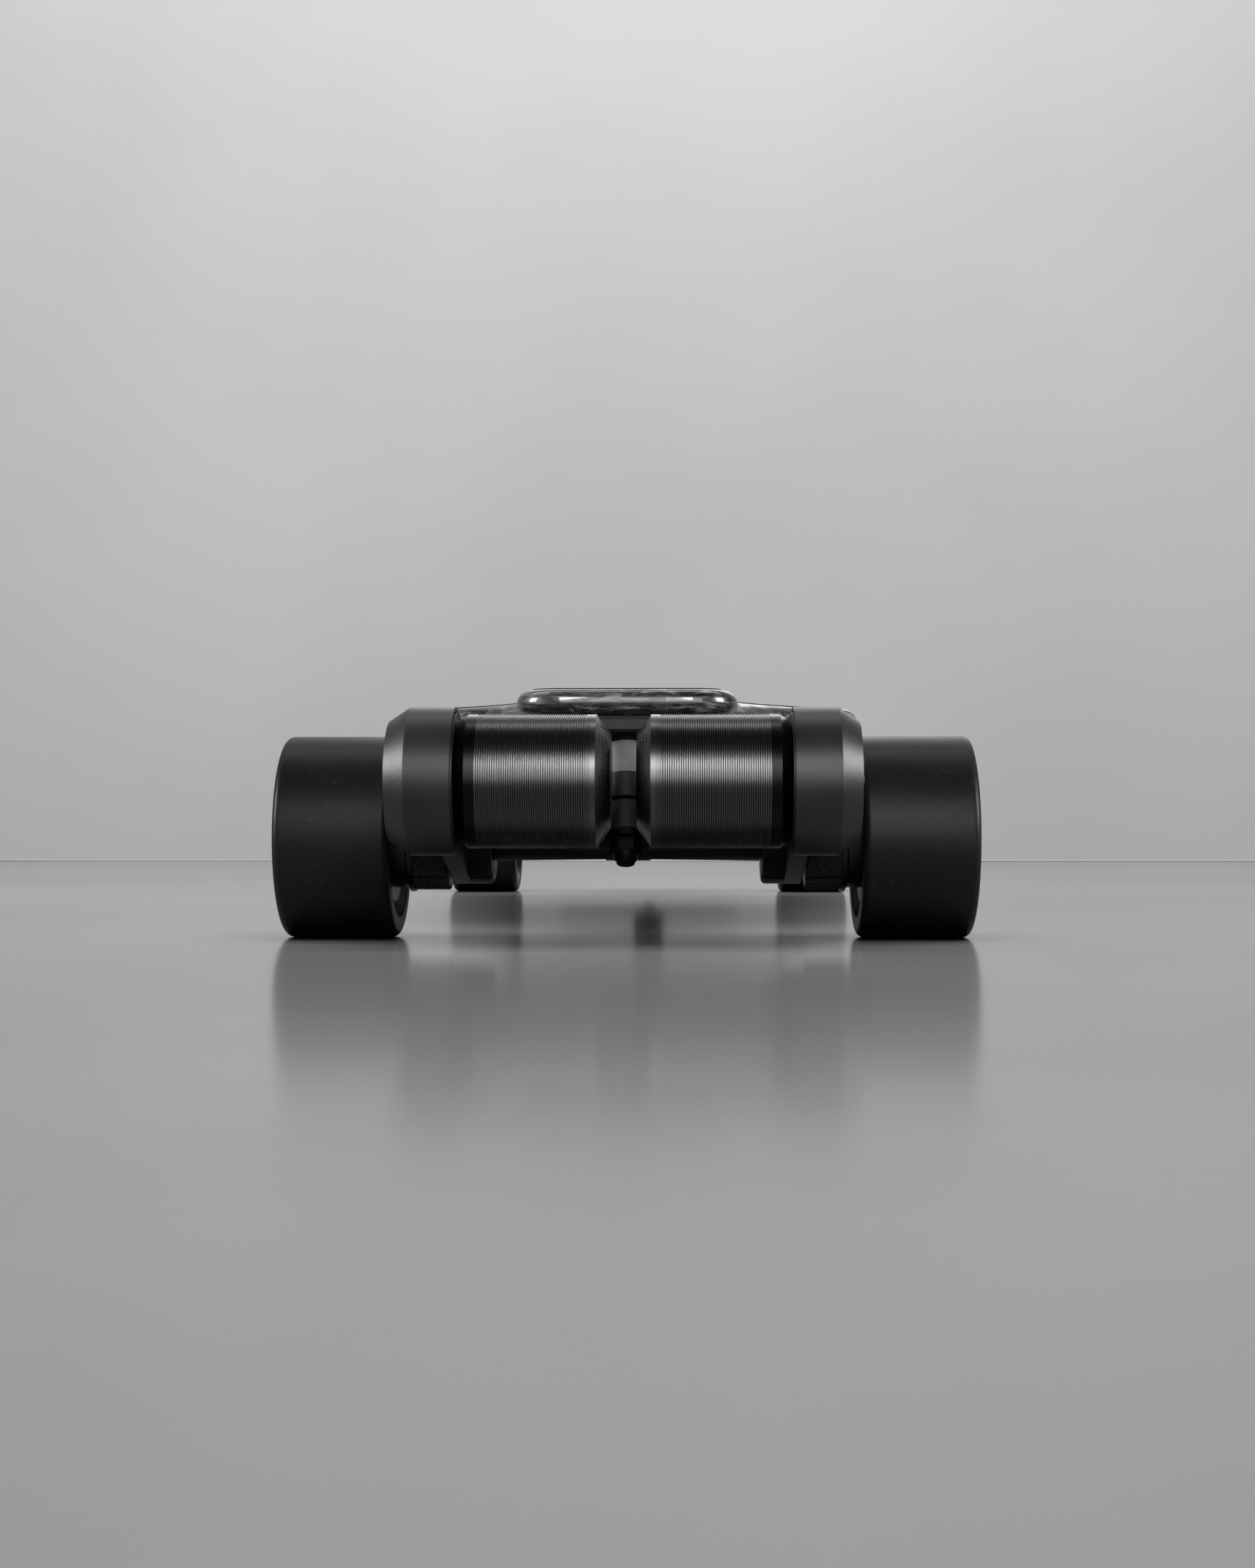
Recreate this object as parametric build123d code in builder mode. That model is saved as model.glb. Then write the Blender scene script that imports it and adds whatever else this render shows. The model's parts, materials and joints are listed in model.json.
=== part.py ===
from build123d import *
from math import acos, atan2, cos, pi, radians, sin
import os

os.makedirs("parts", exist_ok=True)

# Electric longboard with twin belt drive. Millimetres, +Y towards the nose, +Z up,
# origin on the floor under the middle of the board's length.

# ---- Driving dimensions ----
wheel_radius = 53.5
wheel_width = 60.0
wheel_inner = 121.5
wheelbase = 870.0
half_length = 520.2
lean_slope = 25.0

# Deck
deck_bottom = 116.7
deck_thickness = 13.9
grip_thickness = 0.8
tail_overhang = 35.0
neck_half = 58.5
deck_half = 135.5
well_radius = 125.0
well_start = 40.0
rail_corner = 14.0
belly_half = 112.0
belly_bottom = 88.0
belly_rear = -290.0
belly_front = 344.0

# Drive
motor_back = 75.0
motor_z = 81.4
motor_radius = 33.5
cover_radius = 37.2
wheel_teeth = 34
motor_teeth = 15
belt_pitch = 5.0
belt_inner = 94.5
belt_outer = 112.5

# Clearances
running = 0.05
apart = 0.35

# ---- Places worked out from them ----
axle_z = wheel_radius
rear_y = -half_length + cover_radius + motor_back
front_y = rear_y + wheelbase
motor_y = rear_y - motor_back
tail_y = rear_y - tail_overhang
nose_y = half_length
deck_top = deck_bottom + deck_thickness
grip_top = deck_top + grip_thickness
wheel_outer = wheel_inner + wheel_width
wheel_middle = wheel_inner + wheel_width / 2
trucks = {"rear": (rear_y, -1), "front": (front_y, 1)}
sides = {"left": -1, "right": 1}


def finish(piece, label):
    piece.part.label = label
    export_step(piece.part, f"parts/{label}.step")


def side_view(axle_y, out, x=0.0):
    """Plane across the board at x: local x outboard from the axle, local y up."""
    return Plane(origin=(x, axle_y, 0), x_dir=(0, out, 0), z_dir=(out, 0, 0))


def on_axis(side, y, z):
    """Plane that holds a crosswise axis: local x away from the centre line, local y up."""
    return Plane(origin=(0, y, z), x_dir=(side, 0, 0), z_dir=(0, -side, 0))


def cheek(side, low, high):
    """Side-view plane at the rear axle from which amount=high-low fills low to high off centre."""
    return side_view(rear_y, -1, max(side * low, side * high))


# =====================================================================
# Deck
# =====================================================================


def wheel_well(truck_y, inwards, inset):
    """Points of the deck's edge from the neck to the rail: a hollow round the wheel, then a round corner."""
    hollow_x = neck_half + well_radius
    reach = well_radius + rail_corner
    turn = acos((hollow_x + rail_corner - deck_half) / reach)
    start_y = truck_y + inwards * well_start
    corner_x = hollow_x - reach * cos(turn)
    corner_y = start_y + inwards * reach * sin(turn)
    hollow = well_radius + inset
    corner = rail_corner - inset
    points = [(hollow_x - hollow * cos(a), start_y + inwards * hollow * sin(a)) for a in (0, turn / 2, turn)]
    return points + [(corner_x + corner * cos(a), corner_y - inwards * corner * sin(a)) for a in (turn / 2, 0)]


def half_outline(inset=0.0):
    """Right half of the deck's outline drawn in by inset, to be mirrored in the YZ plane."""
    tail_round = 24.0 - inset
    nose_round = 46.0 - inset
    neck = neck_half - inset
    low, high = tail_y + inset, nose_y - inset
    rear = wheel_well(rear_y, 1, inset)
    front = wheel_well(front_y, -1, inset)
    Line((0, low), (neck - tail_round, low))
    RadiusArc((neck - tail_round, low), (neck, low + tail_round), -tail_round)
    Line((neck, low + tail_round), rear[0])
    ThreePointArc(*rear[0:3])
    ThreePointArc(*rear[2:5])
    Line(rear[4], front[4])
    ThreePointArc(*front[2:5])
    ThreePointArc(*front[0:3])
    Line(front[0], (neck, high - nose_round))
    RadiusArc((neck, high - nose_round), (neck - nose_round, high), -nose_round)
    Line((neck - nose_round, high), (0, high))


def belly_points(inset):
    """Outline of the belly pan, drawn in by inset."""
    shoulder = 66.0
    end_half = 74.0
    x_end = end_half - inset * 0.7
    x_side = belly_half - inset
    y_low = belly_rear + inset
    y_high = belly_front - inset
    right = [(x_end, y_low), (x_side, y_low + shoulder), (x_side, y_high - shoulder), (x_end, y_high)]
    return right + [(-x, y) for x, y in reversed(right)]


bolt_x = 41.28 / 2
bolt_span = 63.5
plate_middle = -14.0
bolt_spots = []
for truck_y, out in trucks.values():
    for across in (-bolt_x, bolt_x):
        for along in (-bolt_span / 2, bolt_span / 2):
            bolt_spots.append((across, truck_y + out * (plate_middle + along)))

edge_round = 6.7
bolt_radius = 2.5
head_radius = 4.7
rebate_inset = 7.0
cavity_inset = 18.0
cover_thickness = 3.0
gasket_thickness = 1.5
cavity_floor = belly_bottom + cover_thickness + gasket_thickness
cavity_roof = deck_top - 5.0
port_y = 10.0
button_y = 52.0
port_z = 103.0
port_radius = 8.0
button_bezel_radius = 10.0
wall_depth = 14.0
port_plane = Plane(origin=(belly_half, port_y, port_z), x_dir=(0, 1, 0), z_dir=(1, 0, 0))
button_plane = Plane(origin=(belly_half, button_y, port_z), x_dir=(0, 1, 0), z_dir=(1, 0, 0))

screw_inset = 12.5
screw_xs = belly_half - screw_inset
screw_spots = [(side * screw_xs, y) for side in (-1, 1) for y in (-200, -80, 27, 134, 254)]
screw_spots += [(side * 42, y) for side in (-1, 1) for y in (belly_rear + 12.5, belly_front - 12.5)]

with BuildPart() as deck_shell:
    with BuildSketch(Plane.XY.offset(deck_bottom)):
        with BuildLine():
            half_outline()
            mirror(about=Plane.YZ)
        make_face()
    extrude(amount=deck_thickness)
    fillet(deck_shell.edges().group_by(Axis.Z)[-1], edge_round)
    fillet(deck_shell.edges().group_by(Axis.Z)[0], edge_round)
    with BuildSketch(Plane.XY.offset(belly_bottom)) as pan:
        Polygon(*belly_points(0), align=None)
        fillet(pan.vertices(), 28)
    extrude(amount=deck_bottom - belly_bottom + 2)
    fillet(deck_shell.edges().group_by(Axis.Z)[0], 5)
    with BuildSketch(Plane.XY.offset(belly_bottom)) as rebate:
        Polygon(*belly_points(rebate_inset), align=None)
        fillet(rebate.vertices(), 22)
    extrude(amount=cavity_floor - belly_bottom, mode=Mode.SUBTRACT)
    with BuildSketch(Plane.XY.offset(cavity_floor)) as cavity:
        Polygon(*belly_points(cavity_inset), align=None)
        fillet(cavity.vertices(), 14)
    extrude(amount=cavity_roof - cavity_floor, mode=Mode.SUBTRACT)
    with BuildSketch(Plane.XY.offset(deck_bottom)):
        with Locations(*bolt_spots):
            Circle(bolt_radius)
    extrude(amount=deck_thickness, mode=Mode.SUBTRACT)
    with BuildSketch(Plane.XY.offset(deck_top)):
        with Locations(*bolt_spots):
            Circle(head_radius)
    extrude(amount=-3, taper=40, mode=Mode.SUBTRACT)
    with BuildSketch(Plane.XY.offset(cavity_floor)):
        with Locations(*screw_spots):
            Circle(1.5)
    extrude(amount=9, mode=Mode.SUBTRACT)
    with BuildSketch(port_plane):
        Circle(port_radius)
    extrude(amount=-wall_depth, mode=Mode.SUBTRACT)
    with BuildSketch(button_plane):
        Circle(button_bezel_radius)
    extrude(amount=-wall_depth, mode=Mode.SUBTRACT)
    with BuildSketch(port_plane):
        Circle(port_radius - 2)
    extrude(amount=-(wall_depth + 8), mode=Mode.SUBTRACT)
    with BuildSketch(button_plane):
        Circle(button_bezel_radius - 3)
    extrude(amount=-(wall_depth + 8), mode=Mode.SUBTRACT)
finish(deck_shell, "deck_shell")

with BuildPart() as grip_sheet:
    with BuildSketch(Plane.XY.offset(deck_top)):
        with BuildLine():
            half_outline(8.5)
            mirror(about=Plane.YZ)
        make_face()
        with Locations(*bolt_spots):
            Circle(head_radius + 0.4, mode=Mode.SUBTRACT)
    extrude(amount=grip_thickness)
finish(grip_sheet, "grip_sheet")

with BuildPart() as underside_cover:
    with BuildSketch(Plane.XY.offset(belly_bottom)) as sheet:
        Polygon(*belly_points(rebate_inset + 0.3), align=None)
        fillet(sheet.vertices(), 22)
        with Locations(*screw_spots):
            Circle(1.8, mode=Mode.SUBTRACT)
    extrude(amount=cover_thickness)
    rib_span = belly_front - belly_rear - 150
    with BuildSketch(Plane.XY.offset(belly_bottom)):
        with GridLocations(20, 0, 7, 1):
            SlotOverall(rib_span, 4, rotation=90)
    extrude(amount=0.8, mode=Mode.SUBTRACT)
    with BuildSketch(Plane.XY.offset(belly_bottom)):
        with Locations(*screw_spots):
            Circle(3.4)
    extrude(amount=1.8, taper=42, mode=Mode.SUBTRACT)
finish(underside_cover, "underside_cover")

with BuildPart() as cover_gasket:
    with BuildSketch(Plane.XY.offset(belly_bottom + cover_thickness)) as strip:
        Polygon(*belly_points(rebate_inset + 0.3), align=None)
        fillet(strip.vertices(), 22)
    extrude(amount=gasket_thickness)
    with BuildSketch(Plane.XY.offset(belly_bottom + cover_thickness)) as opening:
        Polygon(*belly_points(cavity_inset), align=None)
        fillet(opening.vertices(), 14)
        with Locations(*screw_spots):
            Circle(1.8)
    extrude(amount=gasket_thickness, mode=Mode.SUBTRACT)
finish(cover_gasket, "cover_gasket")

with BuildPart() as cover_screws:
    with BuildSketch(Plane.XY.offset(belly_bottom + 0.1)):
        with Locations(*screw_spots):
            Circle(3.2)
    extrude(amount=1.65, taper=42)
    with BuildSketch(Plane.XY.offset(belly_bottom + 0.1)):
        with Locations(*screw_spots):
            Circle(1.45)
    extrude(amount=12)
    with BuildSketch(Plane.XY.offset(belly_bottom + 0.1)):
        with Locations(*screw_spots):
            RegularPolygon(1.3, 6)
    extrude(amount=1.2, mode=Mode.SUBTRACT)
finish(cover_screws, "cover_screws")

with BuildPart() as battery_pack:
    for pack_y in (8.0, 180.0):
        with BuildSketch(Plane.XY.offset(cavity_floor + 1)) as block:
            with Locations((0, pack_y)):
                RectangleRounded(170, 168, 10)
        extrude(amount=cavity_roof - cavity_floor - 3)
    fillet(battery_pack.edges().group_by(Axis.Z)[-1], 4)
finish(battery_pack, "battery_pack")

with BuildPart() as motor_controller:
    with BuildSketch(Plane.XY.offset(cavity_floor + 6)):
        with Locations((0, -150)):
            RectangleRounded(120, 130, 5)
    extrude(amount=20)
    with BuildSketch(Plane.XY.offset(cavity_floor + 26)):
        with Locations((0, -150)):
            with GridLocations(8, 0, 13, 1):
                Rectangle(3, 126)
    extrude(amount=6)
    with BuildSketch(Plane.XY.offset(cavity_floor)):
        with Locations((0, -150)):
            with GridLocations(100, 110, 2, 2):
                Circle(4)
    extrude(amount=6)
finish(motor_controller, "motor_controller")

# =====================================================================
# Charge socket with its cap, and the power button
# =====================================================================

cap_gap = 0.5
hinge_x = belly_half + 3.6
hinge_z = port_z - 12.0
pin_radius = 0.8
lug_offset = 7.0

with BuildPart() as charge_socket:
    with BuildSketch(port_plane.offset(-wall_depth)):
        Circle(port_radius)
    extrude(amount=wall_depth)
    with BuildSketch(port_plane):
        RectangleRounded(24, 20, 5)
    extrude(amount=1.2)
    with BuildSketch(port_plane.offset(1.2)):
        Circle(5.2)
    extrude(amount=-9, mode=Mode.SUBTRACT)
    with BuildSketch(port_plane.offset(-7.8)):
        Circle(1.1)
    extrude(amount=6)
    for lug in (-lug_offset, lug_offset):
        lug_plane = Plane(origin=(0, port_y + lug + 1, 0), x_dir=(1, 0, 0), z_dir=(0, -1, 0))
        with BuildSketch(lug_plane):
            with Locations((hinge_x, hinge_z)):
                Circle(1.9)
            with Locations((belly_half + 1.8, hinge_z)):
                Rectangle(3.6, 3.8)
        extrude(amount=2)
    with BuildSketch(Plane(origin=(0, port_y + lug_offset, 0), x_dir=(1, 0, 0), z_dir=(0, -1, 0))):
        with Locations((hinge_x, hinge_z)):
            Circle(pin_radius)
    extrude(amount=2 * lug_offset)
finish(charge_socket, "charge_socket")

lid_inner = belly_half + 1.2 + cap_gap
with BuildPart() as charge_cap:
    with BuildSketch(port_plane.offset(1.2 + cap_gap)):
        RectangleRounded(22, 18, 4.5)
    extrude(amount=2.2)
    fillet(charge_cap.faces().sort_by(Axis.X)[-1].edges(), 0.8)
    with BuildSketch(port_plane.offset(1.2 + cap_gap)):
        Circle(4.6)
    extrude(amount=-3)
    barrel = Plane(origin=(0, port_y + lug_offset - 1.5, 0), x_dir=(1, 0, 0), z_dir=(0, -1, 0))
    with BuildSketch(barrel):
        with Locations((hinge_x, hinge_z)):
            Circle(1.9)
        with Locations((lid_inner + 1.1, hinge_z + 2.5)):
            Rectangle(2.2, 5)
    extrude(amount=2 * lug_offset - 3)
    with BuildSketch(barrel):
        with Locations((hinge_x, hinge_z)):
            Circle(pin_radius + running)
    extrude(amount=2 * lug_offset - 3, mode=Mode.SUBTRACT)
finish(charge_cap, "charge_cap")

button_radius = 6.5
with BuildPart() as button_bezel:
    with BuildSketch(button_plane.offset(-wall_depth)):
        Circle(button_bezel_radius)
    extrude(amount=wall_depth)
    with BuildSketch(button_plane):
        Circle(button_bezel_radius + 2)
    extrude(amount=1.2)
    fillet(button_bezel.faces().sort_by(Axis.X)[-1].edges(), 0.5)
    with BuildSketch(button_plane.offset(1.2)):
        Circle(button_radius + apart)
    extrude(amount=-9, mode=Mode.SUBTRACT)
finish(button_bezel, "button_bezel")

with BuildPart() as power_button:
    with BuildSketch(button_plane.offset(-4)):
        Circle(button_radius)
    extrude(amount=6.6)
    fillet(power_button.faces().sort_by(Axis.X)[-1].edges(), 0.7)
    with BuildSketch(button_plane.offset(2.6)):
        Circle(4.2)
        Circle(3.6, mode=Mode.SUBTRACT)
    extrude(amount=-0.3, mode=Mode.SUBTRACT)
finish(power_button, "power_button")

# =====================================================================
# Trucks: reverse-kingpin, leaning about an axis that rises outboard
# =====================================================================

slope = radians(lean_slope)
seat_out, seat_z = 12.0, 101.5
washer_height = 2.0
upper_height = 20.0
ring_height = 14.0
lower_height = 17.0
cup_washer = 3.0
nut_height = 10.0
kingpin_radius = 4.76
bushing_radius = 12.5
ring_radius = 15.0
nose_radius = 6.5
pivot_reach = 51.0
plate_bottom = 109.7
plate_top = 114.7
to_ring = washer_height + upper_height + ring_height / 2


def down(distance, start=(seat_out, seat_z)):
    """Point that far down the kingpin from start, as outboard and height."""
    return (start[0] + distance * sin(slope), start[1] - distance * cos(slope))


def up_axis(distance, start):
    """Point that far outboard and up the lean axis from start."""
    return (start[0] + distance * cos(slope), start[1] + distance * sin(slope))


ring_spot = down(to_ring)
pivot_spot = up_axis(-pivot_reach, ring_spot)


def kingpin_plane(truck_y, out, distance):
    """Plane square to the kingpin that far below its seat, facing down the kingpin."""
    out_by, z = down(distance)
    return Plane(
        origin=(0, truck_y + out * out_by, z),
        x_dir=(1, 0, 0),
        z_dir=(0, out * sin(slope), -cos(slope)),
    )


def lean_plane(truck_y, out, distance):
    """Plane square to the lean axis that far up it from the pivot, facing up the axis."""
    out_by, z = up_axis(distance, pivot_spot)
    return Plane(
        origin=(0, truck_y + out * out_by, z),
        x_dir=(1, 0, 0),
        z_dir=(0, out * cos(slope), sin(slope)),
    )


def make_baseplate(name, truck_y, out):
    profile = side_view(truck_y, out)
    plate_back, plate_front = plate_middle - 44, plate_middle + 44
    wedge_half = 14.5
    tower_half = 12.0
    mouth = up_axis(3, pivot_spot)
    rise = 10.8
    mouth_top = down(-rise, mouth)
    mouth_low = down(rise, mouth)
    tower_foot = 40.6
    with BuildPart() as baseplate:
        with BuildSketch(Plane.XY.offset(plate_bottom)):
            with Locations((0, truck_y + out * plate_middle)):
                RectangleRounded(58, plate_front - plate_back, 9)
        extrude(amount=plate_top - plate_bottom)
        with BuildSketch(profile):
            Polygon(
                up_axis(-14, (seat_out, seat_z)),
                up_axis(17, (seat_out, seat_z)),
                (plate_front - 2, plate_top - 2),
                (-14, plate_top - 2),
                align=None,
            )
        extrude(amount=wedge_half, both=True)
        with BuildSketch(profile):
            Polygon(
                mouth_top,
                mouth_low,
                (mouth_low[0] - 1, tower_foot),
                (-34, tower_foot),
                (-38, 50),
                (-44, plate_top - 2),
                (-26, plate_top - 2),
                (-26, 74),
                align=None,
            )
        extrude(amount=tower_half, both=True)
        with BuildSketch(profile):
            Polygon((-30, 80), (-30, plate_top - 2), (4, plate_top - 2), (-2, 100), (-20, 92), align=None)
        extrude(amount=4, both=True)
        with BuildSketch(kingpin_plane(truck_y, out, 2)):
            Circle(kingpin_radius)
        extrude(amount=-20, mode=Mode.SUBTRACT)
        with BuildSketch(kingpin_plane(truck_y, out, -3.5)):
            Circle(8.6)
        extrude(amount=-14, mode=Mode.SUBTRACT)
        with BuildSketch(lean_plane(truck_y, out, -8.2)):
            Circle(8.2)
        extrude(amount=14, mode=Mode.SUBTRACT)
        with BuildSketch(Plane.XY.offset(plate_bottom - 1)):
            with Locations((0, truck_y + out * plate_middle)):
                with GridLocations(2 * bolt_x, bolt_span, 2, 2):
                    Circle(bolt_radius + 0.1)
        extrude(amount=8, mode=Mode.SUBTRACT)
        with BuildSketch(Plane.XY.offset(plate_bottom - 12)):
            with Locations((0, truck_y + out * plate_middle)):
                with GridLocations(2 * bolt_x, bolt_span, 2, 2):
                    Circle(5.4)
        extrude(amount=12, mode=Mode.SUBTRACT)
    finish(baseplate, f"{name}_baseplate")


bar_low, bar_high = 41.7, 66.0
bar_middle = (bar_low + bar_high) / 2
clamp_inner, clamp_outer = 71.0, 82.8
hanger_end = 128.0
tube_radius = 12.0
shoulder_radius = 9.0
axle_radius = 4.0


def make_hanger(name, truck_y, out):
    with BuildPart() as hanger:
        for side in (-1, 1):
            with BuildSketch(side_view(truck_y, out)):
                with Locations((1.0, bar_middle)):
                    RectangleRounded(24, bar_high - bar_low, 6)
            with BuildSketch(side_view(truck_y, out, side * (clamp_inner - 1))):
                with Locations((0, axle_z)):
                    RectangleRounded(25, 25.5, 9)
            loft()
        with BuildSketch(side_view(truck_y, out)):
            with Locations((0, axle_z)):
                Circle(tube_radius)
        extrude(amount=clamp_outer, both=True)
        with BuildSketch(side_view(truck_y, out)):
            with Locations((0, axle_z)):
                Circle(shoulder_radius)
        extrude(amount=hanger_end, both=True)
        with BuildSketch(lean_plane(truck_y, out, 14)):
            Circle(9)
        with BuildSketch(lean_plane(truck_y, out, 4)):
            Circle(nose_radius)
        loft()
        with BuildSketch(lean_plane(truck_y, out, 14)):
            Circle(9)
        extrude(amount=8)
        with BuildSketch(lean_plane(truck_y, out, 0)):
            Circle(nose_radius)
        extrude(amount=5)
        with Locations(lean_plane(truck_y, out, 0)):
            Sphere(nose_radius)
        with BuildSketch(side_view(truck_y, out)):
            Polygon(
                down(-ring_height / 2, up_axis(-31, ring_spot)),
                down(-ring_height / 2, up_axis(2, ring_spot)),
                down(ring_height / 2, up_axis(2, ring_spot)),
                down(ring_height / 2, up_axis(-13.6, ring_spot)),
                down(ring_height / 2 + 3, up_axis(-31, ring_spot)),
                align=None,
            )
        extrude(amount=13.5, both=True)
        with BuildSketch(kingpin_plane(truck_y, out, to_ring - ring_height / 2)):
            Circle(ring_radius)
        extrude(amount=ring_height)
        with BuildSketch(kingpin_plane(truck_y, out, to_ring - ring_height)):
            Circle(kingpin_radius + 2.6)
        extrude(amount=2 * ring_height, mode=Mode.SUBTRACT)
        with BuildSketch(side_view(truck_y, out)):
            with Locations((0, axle_z)):
                Circle(axle_radius)
        extrude(amount=hanger_end, both=True, mode=Mode.SUBTRACT)
    finish(hanger, f"{name}_hanger")


def make_bushings(name, truck_y, out):
    with BuildPart() as bushings:
        with BuildSketch(kingpin_plane(truck_y, out, washer_height)):
            Circle(bushing_radius)
        extrude(amount=upper_height)
        with BuildSketch(kingpin_plane(truck_y, out, to_ring + ring_height / 2)):
            Circle(bushing_radius)
        extrude(amount=lower_height)
        fillet(bushings.edges().filter_by(GeomType.CIRCLE), 1.2)
        with BuildSketch(kingpin_plane(truck_y, out, 0)):
            Circle(kingpin_radius)
        extrude(amount=70, mode=Mode.SUBTRACT)
    finish(bushings, f"{name}_bushings")


lower_washer_at = to_ring + ring_height / 2 + lower_height
nut_at = lower_washer_at + cup_washer
nut_across = 14.3

for truck_name, (truck_y, out) in trucks.items():
    make_baseplate(truck_name, truck_y, out)
    make_hanger(truck_name, truck_y, out)
    make_bushings(truck_name, truck_y, out)

with BuildPart() as riser_pads:
    with BuildSketch(Plane.XY.offset(plate_top)):
        for truck_y, out in trucks.values():
            with Locations((0, truck_y + out * plate_middle)):
                RectangleRounded(58, 88, 9)
        with Locations(*bolt_spots):
            Circle(bolt_radius, mode=Mode.SUBTRACT)
    extrude(amount=deck_bottom - plate_top)
finish(riser_pads, "riser_pads")

with BuildPart() as pivot_cups:
    for truck_y, out in trucks.values():
        with BuildSketch(lean_plane(truck_y, out, -8.2)):
            Circle(8.2)
        extrude(amount=11.2)
        with BuildSketch(lean_plane(truck_y, out, 0)):
            Circle(nose_radius + running)
        extrude(amount=4, mode=Mode.SUBTRACT)
        with Locations(lean_plane(truck_y, out, 0)):
            Sphere(nose_radius + running, mode=Mode.SUBTRACT)
finish(pivot_cups, "pivot_cups")

with BuildPart() as kingpins:
    for truck_y, out in trucks.values():
        with BuildSketch(kingpin_plane(truck_y, out, -9.5)):
            RegularPolygon(7.2, 6, major_radius=False)
        extrude(amount=6)
        with BuildSketch(kingpin_plane(truck_y, out, -4)):
            Circle(kingpin_radius)
        extrude(amount=nut_at + nut_height + 2 + 4)
finish(kingpins, "kingpins")

with BuildPart() as kingpin_washers:
    for truck_y, out in trucks.values():
        with BuildSketch(kingpin_plane(truck_y, out, 0)):
            Circle(bushing_radius + 0.3)
        extrude(amount=washer_height)
        with BuildSketch(kingpin_plane(truck_y, out, lower_washer_at)):
            Circle(bushing_radius)
        extrude(amount=cup_washer, taper=25)
        with BuildSketch(kingpin_plane(truck_y, out, -1)):
            Circle(kingpin_radius)
        extrude(amount=70, mode=Mode.SUBTRACT)
finish(kingpin_washers, "kingpin_washers")

with BuildPart() as kingpin_nuts:
    for truck_y, out in trucks.values():
        with BuildSketch(kingpin_plane(truck_y, out, nut_at)):
            RegularPolygon(nut_across / 2, 6, major_radius=False)
        extrude(amount=nut_height - 3)
        with BuildSketch(kingpin_plane(truck_y, out, nut_at + nut_height - 3)):
            Circle(nut_across / 2 - 0.3)
        extrude(amount=3, taper=20)
        with BuildSketch(kingpin_plane(truck_y, out, nut_at)):
            Circle(kingpin_radius)
        extrude(amount=nut_height, mode=Mode.SUBTRACT)
finish(kingpin_nuts, "kingpin_nuts")

with BuildPart() as deck_bolts:
    with BuildSketch(Plane.XY.offset(deck_top)):
        with Locations(*bolt_spots):
            Circle(head_radius - 0.1)
    extrude(amount=-2.6, taper=40)
    with BuildSketch(Plane.XY.offset(deck_top)):
        with Locations(*bolt_spots):
            Circle(bolt_radius - 0.05)
    extrude(amount=-(deck_top - plate_bottom + 8))
    with BuildSketch(Plane.XY.offset(deck_top)):
        with Locations(*bolt_spots):
            RegularPolygon(1.7, 6)
    extrude(amount=-1.8, mode=Mode.SUBTRACT)
finish(deck_bolts, "deck_bolts")

with BuildPart() as deck_nuts:
    with BuildSketch(Plane.XY.offset(plate_bottom)):
        with Locations(*bolt_spots):
            RegularPolygon(4.0, 6, major_radius=False)
            Circle(bolt_radius - 0.05, mode=Mode.SUBTRACT)
    extrude(amount=-5)
finish(deck_nuts, "deck_nuts")

# =====================================================================
# Axles
# =====================================================================

axle_half = 177.0
bearing_width = 7.0
bearing_inner = wheel_middle - 14.0
bearing_outer = wheel_middle + 14.0 - bearing_width

for truck_name, (truck_y, out) in trucks.items():
    with BuildPart() as axle:
        with BuildSketch(side_view(truck_y, out)):
            with Locations((0, axle_z)):
                Circle(axle_radius)
        extrude(amount=axle_half, both=True)
        chamfer(axle.edges().filter_by(GeomType.CIRCLE), 0.8)
    finish(axle, f"{truck_name}_axle")

    with BuildPart() as hardware:
        spans = [
            (hanger_end, bearing_inner - apart, 6.0),
            (bearing_outer + bearing_width + apart, bearing_outer + bearing_width + 1.4, 7.0),
        ]
        nut_start = bearing_outer + bearing_width + 1.4
        for side in (-1, 1):
            for start, end, radius in spans:
                with BuildSketch(on_axis(side, truck_y, axle_z)):
                    with Locations(((start + end) / 2, (axle_radius + radius) / 2)):
                        Rectangle(end - start, radius - axle_radius)
                revolve(axis=Axis((0, truck_y, axle_z), (1, 0, 0)))
            nut_plane = Plane(origin=(side * nut_start, truck_y, axle_z), z_dir=(side, 0, 0))
            with BuildSketch(nut_plane):
                RegularPolygon(6.4, 6, major_radius=False)
                Circle(axle_radius, mode=Mode.SUBTRACT)
            extrude(amount=7)
    finish(hardware, f"{truck_name}_axle_hardware")

# =====================================================================
# Wheels
# =====================================================================

tyre_bore = 40.0
rim_bore = 36.0
hub_radius = 15.0
bearing_radius = 11.0
window_circle = 25.5
window_radius = 8.6
web_half = 6.5


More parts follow.
